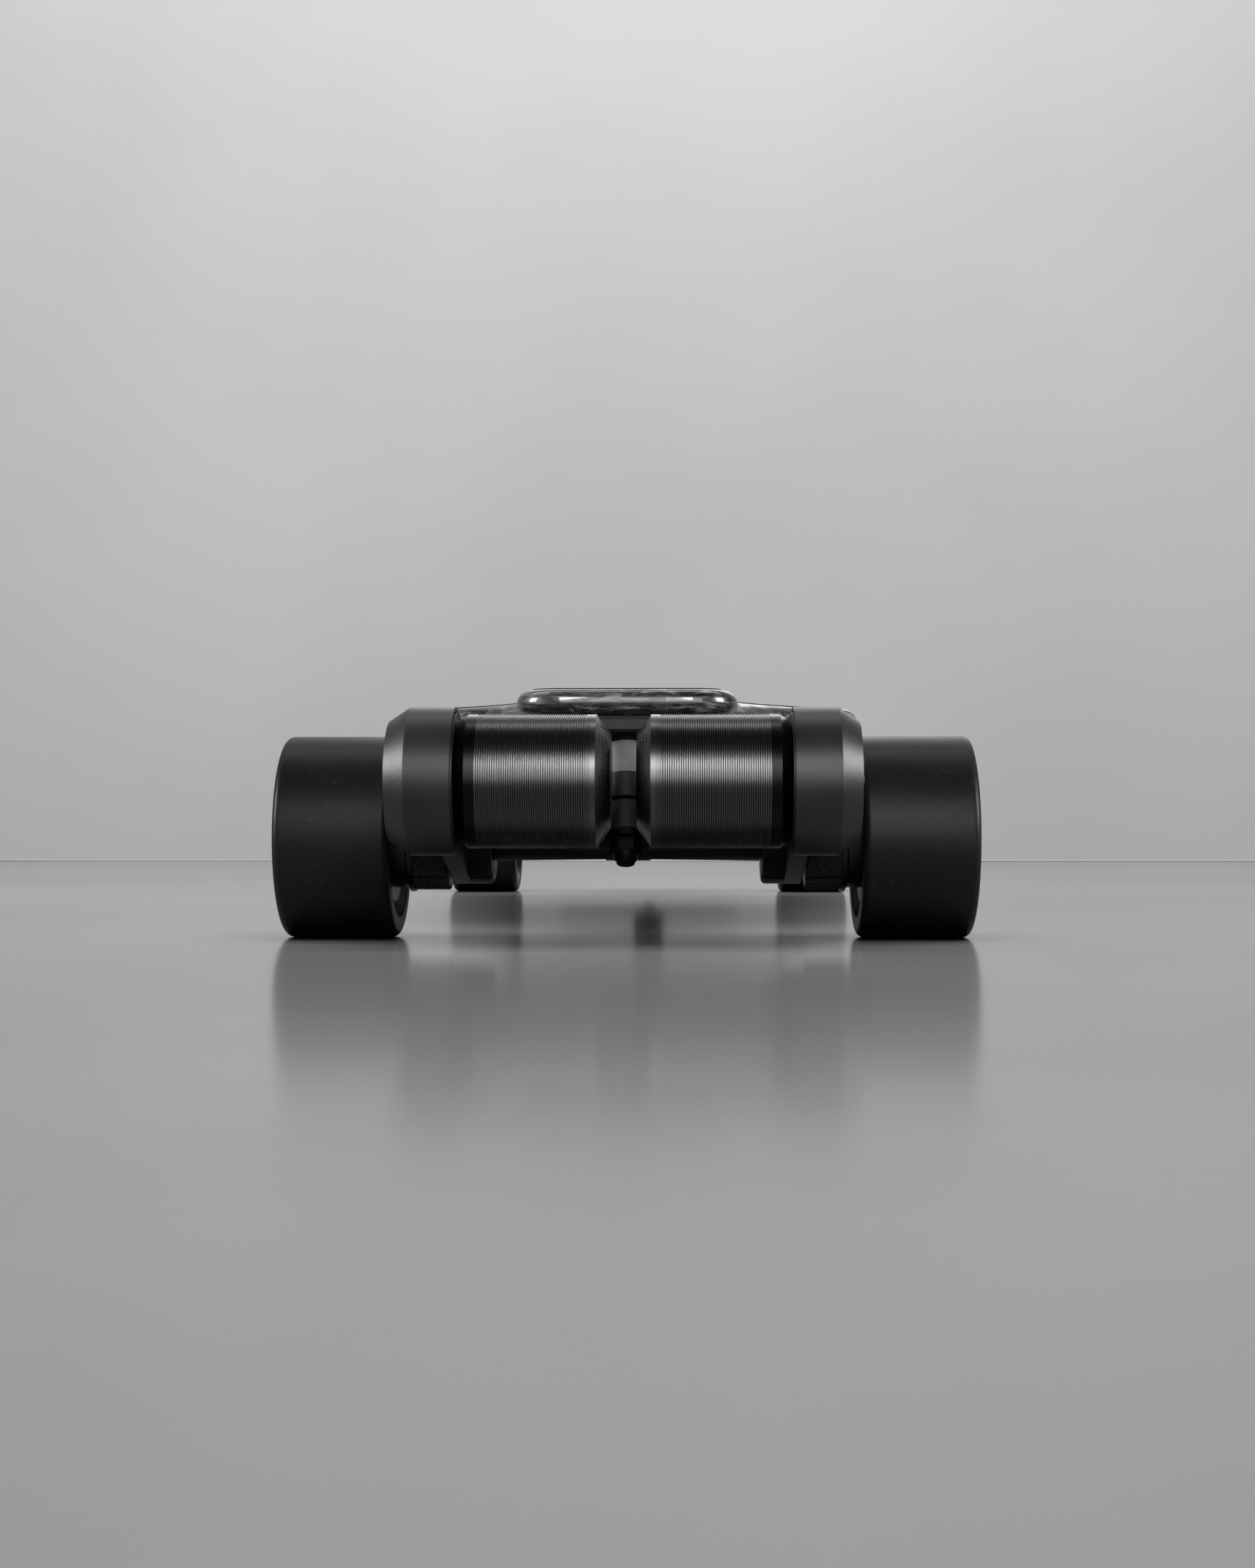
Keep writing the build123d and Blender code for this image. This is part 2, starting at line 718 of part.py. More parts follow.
def make_wheel(label, truck_y, side):
    spin = Axis((0, truck_y, axle_z), (1, 0, 0))
    with BuildPart() as tyre:
        with BuildSketch(on_axis(side, truck_y, axle_z)) as tread:
            Polygon(
                (wheel_inner, tyre_bore + 3),
                (wheel_inner, wheel_radius),
                (wheel_outer, wheel_radius),
                (wheel_outer, tyre_bore + 3),
                (wheel_outer - 5, tyre_bore),
                (wheel_inner + 5, tyre_bore),
                align=None,
            )
            fillet(tread.vertices().group_by(Axis.Y)[-1], 4.0)
            fillet(tread.vertices().group_by(Axis.Y)[1], 1.5)
        revolve(axis=spin)
    finish(tyre, f"{label}_tyre")

    with BuildPart() as core:
        with BuildSketch(on_axis(side, truck_y, axle_z)):
            with Locations((wheel_middle, (tyre_bore + rim_bore) / 2)):
                Rectangle(wheel_width - 10, tyre_bore - rim_bore)
            with Locations((wheel_middle, (rim_bore + hub_radius) / 2)):
                Rectangle(2 * web_half, rim_bore - hub_radius + 2)
            with Locations((wheel_middle, (hub_radius + 9) / 2)):
                Rectangle(30, hub_radius - 9)
        revolve(axis=spin)
        with BuildSketch(on_axis(side, truck_y, axle_z)):
            for start in (bearing_inner, bearing_outer):
                with Locations((start + bearing_width / 2, bearing_radius / 2)):
                    Rectangle(bearing_width, bearing_radius)
            for start in (wheel_middle - 15, wheel_middle + 14):
                with Locations((start + 0.5, bearing_radius / 2)):
                    Rectangle(1.2, bearing_radius)
        revolve(axis=spin, mode=Mode.SUBTRACT)
        window_plane = Plane(origin=(side * (wheel_middle - web_half - 1), truck_y, axle_z), z_dir=(side, 0, 0))
        with BuildSketch(window_plane):
            with PolarLocations(window_circle, 6):
                Circle(window_radius)
        extrude(amount=2 * web_half + 2, mode=Mode.SUBTRACT)
    finish(core, f"{label}_core")

    with BuildPart() as bearings:
        with BuildSketch(on_axis(side, truck_y, axle_z)):
            for start in (bearing_inner, bearing_outer):
                with Locations((start + bearing_width / 2, (bearing_radius + axle_radius + running) / 2)):
                    Rectangle(bearing_width, bearing_radius - axle_radius - running)
            gap = bearing_outer - bearing_inner - bearing_width
            with Locations((wheel_middle, (6.2 + axle_radius + running) / 2)):
                Rectangle(gap, 6.2 - axle_radius - running)
        revolve(axis=spin)
    finish(bearings, f"{label}_bearings")


for truck_name, (truck_y, out) in trucks.items():
    for side_name, side in sides.items():
        make_wheel(f"{truck_name}_{side_name}", truck_y, side)

# =====================================================================
# Belt drive, one at each end of the rear truck
# =====================================================================

tooth_land = 0.57
belt_back = 1.13
wheel_pitch_radius = wheel_teeth * belt_pitch / (2 * pi)
motor_pitch_radius = motor_teeth * belt_pitch / (2 * pi)
wheel_pulley_radius = wheel_pitch_radius - tooth_land
motor_pulley_radius = motor_pitch_radius - tooth_land
groove_radius = 1.45
motor_spot = (motor_back, motor_z)
axle_spot = (0.0, axle_z)
centre_distance = ((motor_back) ** 2 + (motor_z - axle_z) ** 2) ** 0.5
drive_angle = atan2(motor_z - axle_z, motor_back)
can_inner, can_outer = 16.0, 82.8
plate_inner, plate_outer = 83.0, 92.5


def make_wheel_pulley(label, side):
    flange = belt_outer + 0.5
    with BuildPart() as pulley:
        with BuildSketch(on_axis(side, rear_y, axle_z)):
            Polygon(
                (belt_inner - 0.2, 15.5),
                (belt_inner - 0.2, wheel_pulley_radius),
                (flange, wheel_pulley_radius),
                (flange, 29.2),
                (flange + 2.2, 29.2),
                (flange + 3.2, 27.0),
                (124.0, 27.0),
                (124.0, 34.5),
                (128.0, 34.5),
                (128.0, 15.5),
                align=None,
            )
        revolve(axis=Axis((0, rear_y, axle_z), (1, 0, 0)))
        with BuildSketch(Plane(origin=(side * (belt_inner - 1), rear_y, axle_z), z_dir=(side, 0, 0))):
            with PolarLocations(wheel_pulley_radius, wheel_teeth):
                Circle(groove_radius)
        extrude(amount=flange - belt_inner + 1, mode=Mode.SUBTRACT)
        with BuildSketch(Plane(origin=(side * 128.0, rear_y, axle_z), z_dir=(side, 0, 0))):
            with PolarLocations(window_circle, 6):
                Circle(window_radius - 0.3)
        extrude(amount=wheel_middle + web_half - 2 - 128.0)
    finish(pulley, f"{label}_wheel_pulley")


def make_motor_pulley(label, side):
    with BuildPart() as pulley:
        with BuildSketch(on_axis(side, motor_y, motor_z)):
            Polygon(
                (belt_inner - 1.2, 4.0),
                (belt_inner - 1.2, 13.6),
                (belt_inner - 0.4, 13.6),
                (belt_inner - 0.4, motor_pulley_radius),
                (belt_outer + 0.4, motor_pulley_radius),
                (belt_outer + 0.4, 13.6),
                (belt_outer + 1.4, 13.6),
                (belt_outer + 1.4, 4.0),
                align=None,
            )
        revolve(axis=Axis((0, motor_y, motor_z), (1, 0, 0)))
        with BuildSketch(Plane(origin=(side * (belt_inner - 0.4), motor_y, motor_z), z_dir=(side, 0, 0))):
            with PolarLocations(motor_pulley_radius, motor_teeth):
                Circle(groove_radius)
        extrude(amount=belt_outer - belt_inner + 0.8, mode=Mode.SUBTRACT)
    finish(pulley, f"{label}_motor_pulley")


def belt_loop(wheel_part, motor_part):
    with Locations(axle_spot):
        Circle(wheel_part)
    with Locations(motor_spot):
        Circle(motor_part)
    make_hull()


def make_belt(label, side):
    with BuildPart() as belt:
        with BuildSketch(cheek(side, belt_inner, belt_outer)):
            belt_loop(wheel_pitch_radius + belt_back, motor_pitch_radius + belt_back)
        extrude(amount=belt_outer - belt_inner)
        with BuildSketch(cheek(side, belt_inner, belt_outer)):
            belt_loop(wheel_pulley_radius + apart, motor_pulley_radius + apart)
        extrude(amount=belt_outer - belt_inner, mode=Mode.SUBTRACT)
    finish(belt, f"{label}_drive_belt")


screw_circle = 21.0
screw_turns = [45.0, 135.0, 225.0, 315.0]


def around_motor(radius, turn):
    """Point at that radius and turn about the motor axis, in the side view."""
    return (motor_back + radius * cos(radians(turn)), motor_z + radius * sin(radians(turn)))


motor_screw_spots = [around_motor(screw_circle, turn) for turn in screw_turns]
clamp_screw_circle = 18.5
clamp_screw_spots = [
    (clamp_screw_circle * cos(radians(turn)), axle_z + clamp_screw_circle * sin(radians(turn)))
    for turn in (20.0, 100.0, 200.0, 280.0)
]


def make_mount_plate(label, side):
    with BuildPart() as plate:
        with BuildSketch(cheek(side, plate_inner, plate_outer)):
            belt_loop(25.0, cover_radius - 2.9)
        extrude(amount=plate_outer - plate_inner)
        chamfer(plate.edges().group_by(Axis.X)[0 if side < 0 else -1], 0.8)
        with BuildSketch(cheek(side, plate_inner, plate_outer)):
            with Locations(axle_spot):
                Circle(shoulder_radius)
            with Locations(motor_spot):
                Circle(8.0)
            with Locations(*motor_screw_spots):
                Circle(2.1)
            with Locations(*clamp_screw_spots):
                Circle(2.1)
            middle = (motor_back * 0.42, axle_z + (motor_z - axle_z) * 0.42)
            with Locations(middle):
                SlotOverall(22, 15, rotation=90 + drive_angle * 180 / pi)
        extrude(amount=plate_outer - plate_inner, mode=Mode.SUBTRACT)
        with BuildSketch(cheek(side, plate_outer - 4.2, plate_outer)):
            with Locations(*motor_screw_spots, *clamp_screw_spots):
                Circle(3.8)
        extrude(amount=4.2, mode=Mode.SUBTRACT)
    finish(plate, f"{label}_mount_plate")


split_turn = -60.0


with BuildPart() as motor_clamps:
    for side in sides.values():
        clamp_plane = cheek(side, clamp_inner, plate_inner)
        with BuildSketch(clamp_plane):
            with Locations(axle_spot):
                Circle(25.0)
        extrude(amount=plate_inner - clamp_inner)
    inner_edges = motor_clamps.edges().filter_by(GeomType.CIRCLE).filter_by_position(
        Axis.X, -clamp_inner - 0.1, clamp_inner + 0.1
    )
    fillet(inner_edges, 2.4)
    for side in sides.values():
        with BuildSketch(cheek(side, clamp_inner, plate_inner)):
            with Locations(axle_spot):
                Circle(tube_radius)
            with Locations((17.0 * cos(radians(split_turn)), axle_z + 17.0 * sin(radians(split_turn)))):
                Rectangle(20, 2.4, rotation=split_turn)
            with Locations(*clamp_screw_spots):
                Circle(1.95)
        extrude(amount=plate_inner - clamp_inner, mode=Mode.SUBTRACT)
finish(motor_clamps, "motor_clamps")


rib_count = 48
rib_start, rib_end = 18.4, 72.6
rib_depth = 0.6


def can_outline():
    """Outer line of the motor can from its inner end outwards, with the cooling ribs."""
    pitch = (rib_end - rib_start) / rib_count
    points = [(can_inner, motor_radius)]
    for rib in range(rib_count):
        start = rib_start + rib * pitch
        points += [
            (start, motor_radius),
            (start + pitch * 0.18, motor_radius - rib_depth),
            (start + pitch * 0.45, motor_radius - rib_depth),
            (start + pitch * 0.63, motor_radius),
        ]
    return points + [(77.5, motor_radius), (can_outer + 0.2, 30.0)]


def make_motor_can(label, side):
    wall = 77.0
    with BuildPart() as can:
        with BuildSketch(on_axis(side, motor_y, motor_z)):
            Polygon(
                *can_outline(),
                (can_outer + 0.2, 11.0),
                (wall, 11.0),
                (wall, 30.0),
                (can_inner, 30.0),
                align=None,
            )
        revolve(axis=Axis((0, motor_y, motor_z), (1, 0, 0)))
        with BuildSketch(cheek(side, wall, can_outer + 0.2)):
            with Locations(*motor_screw_spots):
                Circle(1.95)
        extrude(amount=can_outer + 0.2 - wall, mode=Mode.SUBTRACT)
    finish(can, f"{label}_motor_can")


cap_face = 6.4
cap_edge = 13.5
cap_face_radius = 23.5
bevel_run = motor_radius - cap_face_radius
bevel_depth = cap_edge - cap_face
bevel_length = (bevel_run**2 + bevel_depth**2) ** 0.5


def bevel_plane(side, turn, share):
    """Plane lying on the cap's bevel at that turn and share of the way out, facing outwards."""
    radius = cap_face_radius + bevel_run * share
    x = cap_face + bevel_depth * share
    radial = Vector(0, cos(radians(turn)), sin(radians(turn)))
    inward = Vector(-side, 0, 0)
    normal = inward * (bevel_run / bevel_length) + radial * (bevel_depth / bevel_length)
    around = Vector(0, -sin(radians(turn)), cos(radians(turn)))
    origin = Vector(side * x, motor_y, motor_z) + radial * radius
    return Plane(origin=origin, x_dir=around, z_dir=normal)


def make_motor_cap(label, side):
    dimples = []
    slots = []
    for sector in range(8):
        middle = sector * 45.0
        for row, share in enumerate((0.3, 0.5, 0.7)):
            for column in range(5):
                if row == 1 or 0 < column < 4:
                    dimples.append(bevel_plane(side, middle + (column - 2) * 4.2 + (row - 1) * 2.1, share))
        slots.append(bevel_plane(side, middle + 22.5, 0.45))
    with BuildPart() as cap:
        with BuildSketch(on_axis(side, motor_y, motor_z)):
            Polygon(
                (cap_face, 0),
                (cap_face, cap_face_radius),
                (cap_edge, motor_radius),
                (can_inner, motor_radius),
                (can_inner, 28.5),
                (cap_edge - 1.5, 28.5),
                (cap_face + 2.4, cap_face_radius - 3),
                (cap_face + 2.4, 14.0),
                (can_inner, 14.0),
                (can_inner, 11.0),
                (can_inner - 7, 11.0),
                (can_inner - 7, 0),
                align=None,
            )
        revolve(axis=Axis((0, motor_y, motor_z), (1, 0, 0)))
        with BuildSketch(*dimples):
            Circle(0.55)
        extrude(amount=-0.7, mode=Mode.SUBTRACT)
        with BuildSketch(*slots):
            SlotOverall(8.5, 0.9, rotation=side * 50)
        extrude(amount=-0.7, mode=Mode.SUBTRACT)
    finish(cap, f"{label}_motor_cap")


def make_rotor(label, side):
    with BuildPart() as rotor:
        with BuildSketch(on_axis(side, motor_y, motor_z)):
            Polygon(
                (can_inner - 6, 0),
                (can_inner - 6, 4.0),
                (26.0, 4.0),
                (26.0, 14.5),
                (70.0, 14.5),
                (70.0, 4.0),
                (114.2, 4.0),
                (114.2, 0),
                align=None,
            )
        revolve(axis=Axis((0, motor_y, motor_z), (1, 0, 0)))
    finish(rotor, f"{label}_rotor")


def make_belt_cover(label, side):
    wall = 2.0
    inner = 84.0
    outer = 117.0
    chamfer_in, chamfer_down = 10.4, 7.0
    open_from = 23.0
    with BuildPart() as cover:
        with BuildSketch(on_axis(side, motor_y, motor_z)):
            Polygon(
                (inner, cover_radius - wall),
                (inner, cover_radius),
                (outer - chamfer_in, cover_radius),
                (outer, cover_radius - chamfer_down),
                (outer, 0),
                (outer - wall, 0),
                (outer - wall, cover_radius - chamfer_down - 1.2),
                (outer - chamfer_in - 1, cover_radius - wall),
                align=None,
            )
        revolve(axis=Axis((0, motor_y, motor_z), (1, 0, 0)))
        with BuildSketch(cheek(side, inner, plate_outer + 0.5)):
            belt_loop(25.4, cover_radius - wall - 0.05)
        extrude(amount=plate_outer + 0.5 - inner, mode=Mode.SUBTRACT)
        towards_axle = Plane(
            origin=(side * inner, motor_y, motor_z),
            x_dir=(0, cos(drive_angle), -sin(drive_angle)),
            z_dir=(1, 0, 0),
        )
        with BuildSketch(towards_axle):
            with Locations((open_from + 15, 0)):
                Rectangle(30, 2 * cover_radius)
        extrude(amount=side * (outer - inner - wall - 0.01), mode=Mode.SUBTRACT)
        with BuildSketch(towards_axle):
            with Locations((open_from + 19, 0)):
                Rectangle(30, 2 * cover_radius)
        extrude(amount=side * (outer - inner + 1), mode=Mode.SUBTRACT)
    finish(cover, f"{label}_belt_cover")


for side_name, side in sides.items():
    make_wheel_pulley(f"rear_{side_name}", side)
    make_motor_pulley(side_name, side)
    make_belt(side_name, side)
    make_mount_plate(side_name, side)
    make_motor_can(side_name, side)
    make_motor_cap(side_name, side)
    make_rotor(side_name, side)
    make_belt_cover(side_name, side)

with BuildPart() as stators:
    for side in sides.values():
        with BuildSketch(cheek(side, 26.0, 70.0)):
            with Locations(motor_spot):
                Circle(30.0)
                Circle(15.2, mode=Mode.SUBTRACT)
                with PolarLocations(21.0, 12):
                    SlotOverall(9, 3.4, mode=Mode.SUBTRACT)
        extrude(amount=44.0)
finish(stators, "stators")

with BuildPart() as motor_bearings:
    for side in sides.values():
        for start in (can_inner - 6.9, 77.0):
            with BuildSketch(on_axis(side, motor_y, motor_z)):
                with Locations((start + 2.9, (11.0 + 4.0 + running) / 2)):
                    Rectangle(5.8, 11.0 - 4.0 - running)
            revolve(axis=Axis((0, motor_y, motor_z), (1, 0, 0)))
finish(motor_bearings, "motor_bearings")

with BuildPart() as mount_screws:
    for side in sides.values():
        head_start, head_end = plate_outer - 4.2, plate_outer - 0.4
        spots = motor_screw_spots + clamp_screw_spots
        with BuildSketch(cheek(side, head_start, head_end)):
            with Locations(*spots):
                Circle(3.5)
        extrude(amount=head_end - head_start)
        with BuildSketch(cheek(side, 78.0, head_end)):
            with Locations(*spots):
                Circle(1.9)
        extrude(amount=head_end - 78.0)
        with BuildSketch(cheek(side, head_end - 1.8, head_end)):
            with Locations(*spots):
                RegularPolygon(1.6, 6)
        extrude(amount=1.8, mode=Mode.SUBTRACT)
finish(mount_screws, "mount_screws")
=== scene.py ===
"""Electric longboard: looks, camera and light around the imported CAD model. Lengths in metres."""

import json
import math

import bmesh
import bpy
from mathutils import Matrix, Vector


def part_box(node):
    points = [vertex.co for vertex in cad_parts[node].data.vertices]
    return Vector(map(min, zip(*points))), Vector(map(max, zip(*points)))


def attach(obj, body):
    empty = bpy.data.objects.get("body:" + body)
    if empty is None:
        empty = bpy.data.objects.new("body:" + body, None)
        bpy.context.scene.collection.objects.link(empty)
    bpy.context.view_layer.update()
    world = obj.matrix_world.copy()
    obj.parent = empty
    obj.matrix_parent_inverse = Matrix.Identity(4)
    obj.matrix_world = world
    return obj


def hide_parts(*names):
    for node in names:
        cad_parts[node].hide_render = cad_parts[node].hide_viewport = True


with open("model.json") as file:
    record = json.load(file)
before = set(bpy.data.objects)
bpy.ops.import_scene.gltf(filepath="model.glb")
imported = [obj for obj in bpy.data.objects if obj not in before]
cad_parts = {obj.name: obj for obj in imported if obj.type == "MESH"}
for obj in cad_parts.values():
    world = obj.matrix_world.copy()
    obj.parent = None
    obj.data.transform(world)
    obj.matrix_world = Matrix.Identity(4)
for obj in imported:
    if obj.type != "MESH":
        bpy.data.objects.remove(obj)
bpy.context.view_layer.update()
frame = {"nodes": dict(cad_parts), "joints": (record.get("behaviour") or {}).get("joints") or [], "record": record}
nodes = frame["nodes"]
joints = {joint["name"]: joint for joint in frame["joints"]}

# ---- Places from the frame ----
rear_spin = joints["rear_right_spin"]["pos_m"]
front_spin = joints["front_right_spin"]["pos_m"]
motor_spin = joints["right_motor_spin"]["pos_m"]
rear_y, axle_z = rear_spin[1], rear_spin[2]
front_y = front_spin[1]
motor_y, motor_z = motor_spin[1], motor_spin[2]
wall_y = rear_y + 2.75
sides = {"left": -1, "right": 1}


# =====================================================================
# Camera, floor and light
# =====================================================================

camera_back = 1.150
camera_height = 0.057
camera_right = 0.026
aim_rise = 0.0247
lens = 49.4


def make_camera():
    data = bpy.data.cameras.new("camera")
    data.lens = lens
    data.sensor_width = 36.0
    data.clip_end = 60.0
    camera = bpy.data.objects.new("camera", data)
    camera.location = (camera_right, rear_y - camera_back, camera_height)
    aim = Vector((0.0, rear_y, camera_height + aim_rise)) - camera.location
    camera.rotation_euler = aim.to_track_quat("-Z", "Y").to_euler()
    bpy.context.scene.collection.objects.link(camera)
    bpy.context.scene.camera = camera


def tree_of(material):
    """A node material's tree and its Principled shader."""
    material.use_nodes = True
    tree = material.node_tree
    return tree, tree.nodes["Principled BSDF"]


def stage_material(name, low, high, roughness, scale):
    """Plain paint with soft clouds between two greys."""
    material = bpy.data.materials.new(name)
    tree, shader = tree_of(material)
    place = tree.nodes.new("ShaderNodeTexCoord")
    cloud = tree.nodes.new("ShaderNodeTexNoise")
    cloud.inputs["Scale"].default_value = scale
    cloud.inputs["Detail"].default_value = 6.0
    ramp = tree.nodes.new("ShaderNodeValToRGB")
    ramp.color_ramp.elements[0].position = 0.3
    ramp.color_ramp.elements[1].position = 0.7
    ramp.color_ramp.elements[0].color = (low, low, low, 1)
    ramp.color_ramp.elements[1].color = (high, high, high, 1)
    tree.links.new(place.outputs["Object"], cloud.inputs["Vector"])
    tree.links.new(cloud.outputs["Fac"], ramp.inputs["Fac"])
    tree.links.new(ramp.outputs["Color"], shader.inputs["Base Color"])
    shader.inputs["Roughness"].default_value = roughness
    return material


def make_stage():
    """A pale floor with a pale wall beyond the board's nose, joined by a small cove."""
    half = 9.0
    wall_height = 7.0
    sweep = 0.004
    steps = 12
    line = [(-half, 0.0)]
    for step in range(steps + 1):
        turn = math.pi / 2 * step / steps
        line.append((wall_y - sweep + sweep * math.sin(turn), sweep - sweep * math.cos(turn)))
    line.append((wall_y, wall_height))
    mesh = bpy.data.meshes.new("floor")
    points = [(x, y, z) for y, z in line for x in (-half, half)]
    faces = [(2 * k, 2 * k + 1, 2 * k + 3, 2 * k + 2) for k in range(len(line) - 1)]
    mesh.from_pydata(points, [], faces)
    mesh.materials.append(stage_material("floor_pale", 0.20, 0.26, 0.16, 1.6))
    mesh.materials.append(stage_material("wall_pale", 0.58, 0.66, 0.75, 1.1))
    for face in mesh.polygons:
        face.use_smooth = True
        face.material_index = 1 if face.center.z > sweep / 2 else 0
    floor = bpy.data.objects.new("floor", mesh)
    bpy.context.scene.collection.objects.link(floor)
    return floor


def area_light(name, place, target, size, power):
    """A rectangular lamp at a place that faces a target, with its size in metres and power in watts."""
    data = bpy.data.lights.new(name, "AREA")
    data.shape = "RECTANGLE"
    data.size, data.size_y = size
    data.energy = power
    lamp = bpy.data.objects.new(name, data)
    lamp.location = place
    aim = Vector(target) - Vector(place)
    lamp.rotation_euler = aim.to_track_quat("-Z", "Y").to_euler()
    bpy.context.scene.collection.objects.link(lamp)
    return lamp


def receivers(name, floor, state):
    """What a lamp lights: the stage alone (INCLUDE), or everything but the stage (EXCLUDE)."""
    group = bpy.data.collections.new(name)
    group.objects.link(floor)
    group.collection_objects[0].light_linking.link_state = state
    return group


def make_light(floor):
    """A lit wall ahead, a wide window behind the camera, and soft boxes at both sides.

    The stage has its own overhead light, so that the lamps for the board don't show in the glossy floor.
    """
    scene = bpy.context.scene
    scene.view_settings.view_transform = "Standard"
    world = bpy.data.worlds.new("studio")
    world.use_nodes = True
    background = world.node_tree.nodes["Background"]
    background.inputs["Color"].default_value = (1.0, 1.0, 1.0, 1.0)
    background.inputs["Strength"].default_value = 0.03
    scene.world = world
    middle = (0.0, motor_y, motor_z)
    area_light("wall_wash", (0.0, wall_y - 1.7, 2.9), (0.0, wall_y, 0.8), (5.0, 0.6), 40.0)
    area_light("back_soft", (0.0, rear_y + 0.9, 2.2), middle, (2.6, 0.5), 4.0)
    floor_fill = area_light("floor_fill", (0.0, rear_y - 0.4, 3.4), middle, (4.0, 4.0), 172.0)
    floor_fill.light_linking.receiver_collection = receivers("floor_alone", floor, "INCLUDE")
    off_floor = receivers("all_but_floor", floor, "EXCLUDE")
    for name, place, size, power in (
        ("window_soft", (0.45, motor_y - 3.2, 1.15), (2.2, 2.0), 62.0),
        ("left_soft", (-2.0, motor_y - 0.37, 0.85), (0.8, 0.8), 50.0),
        ("right_soft", (2.0, motor_y - 0.42, 0.85), (0.8, 0.8), 52.0),
        ("left_strip", (-0.17, motor_y - 2.2, 1.5), (0.045, 1.0), 7.0),
        ("right_strip", (0.06, motor_y - 2.2, 1.3), (0.035, 0.9), 6.0),
        ("front_soft", (0.3, front_y + 1.6, 1.30), (1.6, 1.0), 9.0),
    ):
        lamp = area_light(name, place, middle, size, power)
        lamp.light_linking.receiver_collection = off_floor


# =====================================================================
# Materials
# =====================================================================


class Maker:
    """Builds one node material on a Principled shader."""

    def __init__(self, name, roughness=0.5, metallic=0.0, coat=0.0, coat_roughness=0.1, specular=0.5):
        self.material = bpy.data.materials.new(name)
        self.tree, self.shader = tree_of(self.material)
        self.shader.inputs["Roughness"].default_value = roughness
        self.shader.inputs["Metallic"].default_value = metallic
        self.shader.inputs["Coat Weight"].default_value = coat
        self.shader.inputs["Coat Roughness"].default_value = coat_roughness
        self.shader.inputs["Specular IOR Level"].default_value = specular
        self.place = self.add("ShaderNodeTexCoord").outputs["Object"]

    def feed(self, socket, value):
        """Links a node's output to a socket, or sets the socket's own value."""
        if isinstance(value, bpy.types.NodeSocket):
            self.tree.links.new(value, socket)
        else:
            socket.default_value = value

    def add(self, kind, **inputs):
        node = self.tree.nodes.new(kind)
        for key, value in inputs.items():
            self.feed(node.inputs[key], value)
        return node

    def stretched(self, scale, place=None):
        """Object coordinates stretched by a scale for each axis."""
        node = self.add("ShaderNodeMapping", Vector=place or self.place)
        node.inputs["Scale"].default_value = scale
        return node.outputs["Vector"]

    def noise(self, scale, detail=3.0, place=None):
        node = self.add("ShaderNodeTexNoise", Vector=place or self.place, Scale=scale, Detail=detail)
        return node.outputs["Fac"]

    def ramp(self, value, stops):
        """Colours along a value, from (position, grey or colour) stops."""
        node = self.add("ShaderNodeValToRGB", Fac=value)
        elements = node.color_ramp.elements
        while len(elements) < len(stops):
            elements.new(0.5)
        for element, (position, colour) in zip(elements, stops):
            rgb = (colour,) * 3 if isinstance(colour, float) else colour
            element.position = position
            element.color = (*rgb, 1.0)
        return node.outputs["Color"]

    def spread(self, value, low, high):
        """A value from 0 to 1 spread over low to high."""
        node = self.add("ShaderNodeMapRange", Value=value)
        node.inputs["To Min"].default_value = low
        node.inputs["To Max"].default_value = high
        return node.outputs["Result"]

    def math(self, operation, one, other=0.0):
        node = self.tree.nodes.new("ShaderNodeMath")
        node.operation = operation
        for socket, value in zip(node.inputs, (one, other)):
            self.feed(socket, value)
        return node.outputs["Value"]

    def mix(self, share, one, other, blend="MIX"):
        """Two colours mixed; a Mix node's colour sockets are inputs 6 and 7 and output 2."""
        node = self.tree.nodes.new("ShaderNodeMix")
        node.data_type = "RGBA"
        node.blend_type = blend
        for index, value in ((0, share), (6, one), (7, other)):
            self.feed(node.inputs[index], value)
        return node.outputs[2]

    def colour(self, socket):
        self.tree.links.new(socket, self.shader.inputs["Base Color"])

    def rough(self, socket):
        self.tree.links.new(socket, self.shader.inputs["Roughness"])

    def bump(self, height, distance, strength=1.0):
        node = self.add("ShaderNodeBump", Height=height, Strength=strength, Distance=distance)
        self.tree.links.new(node.outputs["Normal"], self.shader.inputs["Normal"])


